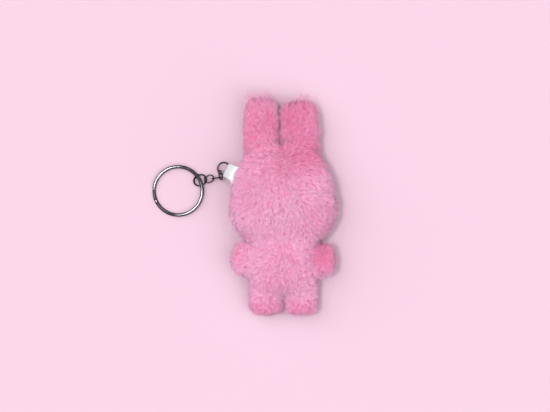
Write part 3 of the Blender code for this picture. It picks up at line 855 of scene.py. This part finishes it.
def make_metal():
    _, across = ribbon_axes()
    points, faces = jump_ring(RIBBON_RING_R, RIBBON_RING_CUT)
    add_metal("jump_ring_in_ribbon", points, faces, axes_of(fold_axis(), across), RIBBON_RING_CENTRE,
              "ribbon_ring", "ribbon_jump_ring")
    for number, centre, turns in LINKS:
        axes = np.array(Euler([math.radians(turn) for turn in turns]).to_matrix())
        points, faces = chain_link()
        add_metal(f"cable_link_{number}", points, faces, axes, np.array(centre), f"link_{number}",
                  f"chain_link_{number}")
    towards = END_RING_CENTRE - SPLIT_CENTRE
    towards[2] = 0.0
    towards = unit(towards)
    beside = np.cross(UP, towards)
    raised = -beside * math.cos(END_RING_TILT) + UP * math.sin(END_RING_TILT)
    points, faces = jump_ring(END_RING_R, END_RING_CUT)
    add_metal("jump_ring_on_split_ring", points, faces, axes_of(towards, raised), END_RING_CENTRE,
              "end_ring", "end_jump_ring")
    points, faces = split_coil()
    points = turned(points, -math.atan2(towards[1], towards[0]))
    raised = towards * math.cos(SPLIT_TILT) + UP * math.sin(SPLIT_TILT)
    add_metal("split_ring_coil", points, faces, axes_of(raised, beside), SPLIT_CENTRE,
              "key_ring", "split_ring")


# Ribbon

def ribbon_axes():
    outward = np.array([math.cos(RIBBON_HEADING), math.sin(RIBBON_HEADING), 0.0])
    return outward, np.cross(outward, UP)


def fold_axis():
    """Out of the ribbon's fold through the jump ring, dipping towards the table."""
    outward, _ = ribbon_axes()
    return outward * math.cos(RIBBON_RING_DIP) - UP * math.sin(RIBBON_RING_DIP)


def ribbon_rows():
    """The folded strip from its edge: place in the upright plane, outward normal, half width and shift."""
    outward, _ = ribbon_axes()
    axis = fold_axis()
    eye = RIBBON_RING_CENTRE - axis * FOLD_BACK - RIBBON_ROOT
    slope = np.array([axis @ outward, axis[2]])
    end = np.array([eye @ outward, eye[2]])
    knots = np.array([[0.0, 0.0], [1.9, -0.9], end - slope * 1.6 + (0.0, 1.2), end])
    upper = []
    for t in np.linspace(0.0, 1.0, 25):
        weights = np.array([(1 - t) ** 3, 3 * t * (1 - t) ** 2, 3 * t * t * (1 - t), t ** 3])
        slopes = np.array([(1 - t) ** 2, 2 * t * (1 - t), t * t])
        tangent = unit(slopes @ np.diff(knots, axis=0))
        normal = np.array([-tangent[1], tangent[0]])
        spread = PLY_GAP + (FOLD_R - PLY_GAP) * float(eased(np.array(t), 0.0, 0.62))
        half = RIBBON_HALF_AT_SEAM + (RIBBON_HALF_AT_FOLD - RIBBON_HALF_AT_SEAM) * t
        upper.append((weights @ knots, normal, spread, half, RIBBON_SKEW * (1 - t)))
    tail = []
    for share in np.arange(5) / 5:
        place = np.array([-RIBBON_TAIL * (1 - share), 0.0])
        tail.append((place, np.array([0.0, 1.0]), PLY_GAP, RIBBON_HALF_AT_SEAM, RIBBON_SKEW))
    upper = tail + upper
    rows = [(p + n * spread, n, half, shift) for p, n, spread, half, shift in upper]
    normal = np.array([-slope[1], slope[0]])
    for angle in np.radians((20.0, 43.0, 48.0, 69.0, 90.0, 111.0, 132.0, 137.0, 160.0)):
        out = slope * math.sin(angle) + normal * math.cos(angle)
        from_side = min(angle, math.pi - angle)
        half = RIBBON_HALF_AT_FOLD if from_side <= FOLD_OPEN + 0.01 else FOLD_HALF
        rows.append((end + out * FOLD_R, out, half, 0.0))
    rows += [(p - n * spread, -n, half, -shift) for p, n, spread, half, shift in upper[::-1]]
    return rows


def make_ribbon():
    """One length of satin, folded over the jump ring, with both ends sewn into the head's seam."""
    outward, across = ribbon_axes()
    rows = ribbon_rows()
    places = np.array([row[0] for row in rows])
    normals = np.array([row[1] for row in rows])
    halves = np.array([row[2] for row in rows])
    shifts = np.array([row[3] for row in rows])
    steps = np.linalg.norm(np.diff(places, axis=0), axis=1)
    along = np.concatenate([[0.0], np.cumsum(steps)])
    shares = np.linspace(-1.0, 1.0, 17)
    upright = np.stack([outward, UP])
    middles, outs = places @ upright, normals @ upright
    flat = halves[:, None] * shares[None, :]
    free = eased(np.minimum(along, along[-1] - along), RIBBON_TAIL + 0.5, RIBBON_TAIL + 3.0)
    open_part = free * (halves > FOLD_HALF + 0.1)
    crown = RIBBON_CROWN * (1.0 - shares[None, :] ** 2) * open_part[:, None]
    crease = np.exp(-((flat + 2.6 - 0.5 * (along[:, None] - RIBBON_TAIL)) / CREASE_WIDTH) ** 2)
    crown = crown + CREASE_HEIGHT * crease * open_part[:, None] * (along < along[-1] / 2)[:, None]
    surface = (RIBBON_ROOT + middles[:, None] + across * (flat + shifts[:, None])[..., None]
               + outs[:, None] * crown[..., None])
    thick = outs[:, None] * (RIBBON_THICK / 2)
    columns, count = len(shares), len(rows)
    loop = np.concatenate([surface + thick, (surface - thick)[:, ::-1]], axis=1)
    faces = [grid_faces(count, 2 * columns)[:, ::-1]]
    i = np.arange(columns - 1)
    start = np.stack([i, i + 1, 2 * columns - 2 - i, 2 * columns - 1 - i], axis=1)
    faces += [start, start[:, ::-1] + (count - 1) * 2 * columns]
    piece = make_object("satin_ribbon", loop.reshape(-1, 3), faces, MATERIALS["satin"])
    width = RIBBON_HALF_AT_SEAM * 2
    u = np.concatenate([flat, flat[:, ::-1]], axis=1) / width
    v = np.broadcast_to(along[:, None], u.shape) / width
    paint_uv(piece, "cloth", np.stack([u, v], axis=-1).reshape(-1, 2))
    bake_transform(piece)
    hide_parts("ribbon_loop", "ribbon_tail")


# Face

def lathe(profile, sides=40):
    """Closed solid turned about its own Z, from points of radius and height, poles at both ends."""
    angles = np.linspace(0, 2 * math.pi, sides, endpoint=False)
    inner = np.array(profile[1:-1])
    rows = np.stack([inner[:, :1] * np.cos(angles), inner[:, :1] * np.sin(angles),
                     np.repeat(inner[:, 1:], sides, axis=1)], axis=-1)
    poles = np.array([[0.0, 0.0, profile[0][1]], [0.0, 0.0, profile[-1][1]]])
    return np.concatenate([rows.reshape(-1, 3), poles]), capped_faces(len(inner), sides)


def eye_profile():
    """From the barbed end of the shank up to the top of the bead."""
    profile = [(0.0, SHANK_END), (0.45, SHANK_END), (SHANK_R, SHANK_END + 0.3)]
    for i in range(SHANK_BARBS):
        height = SHANK_END + 0.6 + 0.8 * i
        profile += [(SHANK_R, height), (SHANK_R - 0.12, height + 0.12), (SHANK_R - 0.12, height + 0.5)]
    profile += [(SHANK_R, -EYE_SUNK - EYE_R + 0.05)]
    for angle in np.radians(np.linspace(-70.0, 84.0, 24)):
        profile.append((EYE_R * math.cos(angle), EYE_R * math.sin(angle) - EYE_SUNK))
    return profile + [(0.0, EYE_R - EYE_SUNK)]


def make_eyes():
    """Each bead stands where its CAD bead does, along the line from its washer."""
    for side in ("left", "right"):
        low, high = node_box(f"eye_washer_{side}")
        washer = (low + high) / 2
        node = frame["nodes"][f"eye_{side}"]
        places = np.array([v.co for v in node.data.vertices]) / MM
        spans = np.linalg.norm(places - washer, axis=1)
        tip = places[spans > spans.max() - 0.6].mean(axis=0)
        out = unit(tip - washer)
        surface = washer + out * EYE_FROM_WASHER
        across = np.cross(out, [0.0, 1.0, 0.0])
        axes = axes_of(across, np.cross(out, across))
        if axes[:, 2] @ out < 0:
            axes = axes * np.array([1.0, -1.0, -1.0])
        points, faces = lathe(eye_profile())
        bead = make_object(f"bead_eye_{side}", points @ axes.T + surface, faces, MATERIALS["bead"])
        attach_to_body(bead, "head")
        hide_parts(f"eye_{side}")


def make_nose():
    """Satin stitches side by side in an oval, each arched over the one layer below."""
    low, high = node_box("nose")
    middle = (low + high) / 2
    points, quads, caps = [], [], []
    start = 0
    for layer, (depth, size) in enumerate(((0.35, 0.86), (0.0, 1.0))):
        count = 15 if layer else 12
        for share in np.linspace(-0.93, 0.93, count):
            across = share * NOSE_HALF[0] * size
            reach = NOSE_HALF[1] * size * math.sqrt(1.0 - share ** 2)
            t = np.linspace(-1.0, 1.0, 11)
            path = np.stack([np.full(11, across) + 0.06 * t * (-1) ** layer, reach * t,
                             low[2] - middle[2] + 0.26 + depth + 0.75 * np.abs(t) ** 3], axis=1)
            side = np.tile([1.0, 0.0, 0.0], (11, 1))
            tangent = unit_rows(np.gradient(path, axis=0))
            thread = oval_section(0.2, 0.2, 2.0, 8)
            made, (sides, ends) = swept(path, side, np.cross(tangent, side), thread, 0.6)
            points.append(made)
            quads.append(sides + start)
            caps.append(ends + start)
            start += len(made)
    piece = make_object("stitched_nose", np.concatenate(points) + middle,
                        [np.concatenate(quads), np.concatenate(caps)], MATERIALS["thread"])
    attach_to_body(piece, "head")
    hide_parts("nose")


# Scene

def aim(obj, place, target):
    obj.location = Vector(place)
    obj.rotation_mode = "QUATERNION"
    obj.rotation_quaternion = (Vector(target) - Vector(place)).to_track_quat("-Z", "Y")


def make_camera():
    data = bpy.data.cameras.new("camera")
    data.lens = LENS
    data.sensor_width = SENSOR
    camera = bpy.data.objects.new("camera", data)
    bpy.context.scene.collection.objects.link(camera)
    distance = VIEW_WIDTH / 2 / (SENSOR / 2 / LENS)
    camera.location = Vector((VIEW_CENTRE[0], VIEW_CENTRE[1], VIEW_HEIGHT + distance)) * MM
    data.clip_start = 0.01
    data.clip_end = 20.0
    bpy.context.scene.camera = camera


def make_sun(name, azimuth, from_zenith, spread, strength):
    """A large, far softbox: a sun lamp of that angular size. Angles are in degrees."""
    data = bpy.data.lights.new(name, "SUN")
    data.energy = strength
    data.angle = math.radians(spread)
    light = bpy.data.objects.new(name, data)
    bpy.context.scene.collection.objects.link(light)
    turn, tilt = math.radians(azimuth), math.radians(from_zenith)
    place = (math.cos(turn) * math.sin(tilt), math.sin(turn) * math.sin(tilt), math.cos(tilt))
    aim(light, place, (0.0, 0.0, 0.0))


def world_ramp(tree, source, stops):
    """Levels of light along a source value."""
    ramp = tree.nodes.new("ShaderNodeValToRGB")
    while len(ramp.color_ramp.elements) < len(stops):
        ramp.color_ramp.elements.new(0.5)
    for element, (place, level) in zip(ramp.color_ramp.elements, stops):
        element.position = place
        element.color = (level, level, level * 1.01, 1.0)
    tree.links.new(source, ramp.inputs["Fac"])
    return ramp.outputs["Color"]


def make_world():
    """A studio with one long overhead bank of light from upper left to lower right, dim elsewhere."""
    world = bpy.data.worlds.new("studio")
    bpy.context.scene.world = world
    world.use_nodes = True
    tree = world.node_tree
    place = tree.nodes.new("ShaderNodeTexCoord")
    across = tree.nodes.new("ShaderNodeVectorMath")
    across.operation = "DOT_PRODUCT"
    across.inputs[1].default_value = BANK_ACROSS
    size = tree.nodes.new("ShaderNodeMath")
    size.operation = "ABSOLUTE"
    height = tree.nodes.new("ShaderNodeSeparateXYZ")
    tree.links.new(place.outputs["Generated"], across.inputs[0])
    tree.links.new(place.outputs["Generated"], height.inputs[0])
    tree.links.new(across.outputs["Value"], size.inputs[0])
    bank = world_ramp(tree, size.outputs[0], ((0.3, 1.0), (0.5, WORLD_DIM)))
    levels = ((0.1, WORLD_LOW), (0.75, 1.0), (0.97, 1.0), (0.995, 0.3))
    rise = world_ramp(tree, height.outputs["Z"], levels)
    both = tree.nodes.new("ShaderNodeMix")
    both.data_type = "RGBA"
    both.blend_type = "MULTIPLY"
    both.inputs[0].default_value = 1.0
    tree.links.new(bank, both.inputs[6])
    tree.links.new(rise, both.inputs[7])
    background = tree.nodes["Background"]
    tree.links.new(both.outputs[2], background.inputs["Color"])
    background.inputs["Strength"].default_value = WORLD_STRENGTH


def make_floor():
    points = np.array([[-1, -1, 0], [1, -1, 0], [1, 1, 0], [-1, 1, 0]]) * FLOOR_HALF
    floor = make_object("table_top", points, [np.array([[0, 1, 2, 3]])], table_material(), smooth=False)


def dress_nodes():
    """A fitting material on every CAD node that still shows."""
    finish = {slot["node"]: slot["material_slot"] for slot in frame["record"]["subparts"]}
    for name, node in frame["nodes"].items():
        slot = finish[name]
        material = MATERIALS["backing"] if slot in ("fur", "limb_fur") else MATERIALS[slot]
        node.data.materials.clear()
        node.data.materials.append(material)


make_camera()
make_world()
make_floor()
make_sun("key", KEY_AZIMUTH, KEY_FROM_ZENITH, KEY_SPREAD, KEY_STRENGTH)
dress_nodes()
make_plush()
make_metal()
make_ribbon()
make_eyes()
make_nose()
bpy.context.scene.view_settings.view_transform = "Standard"
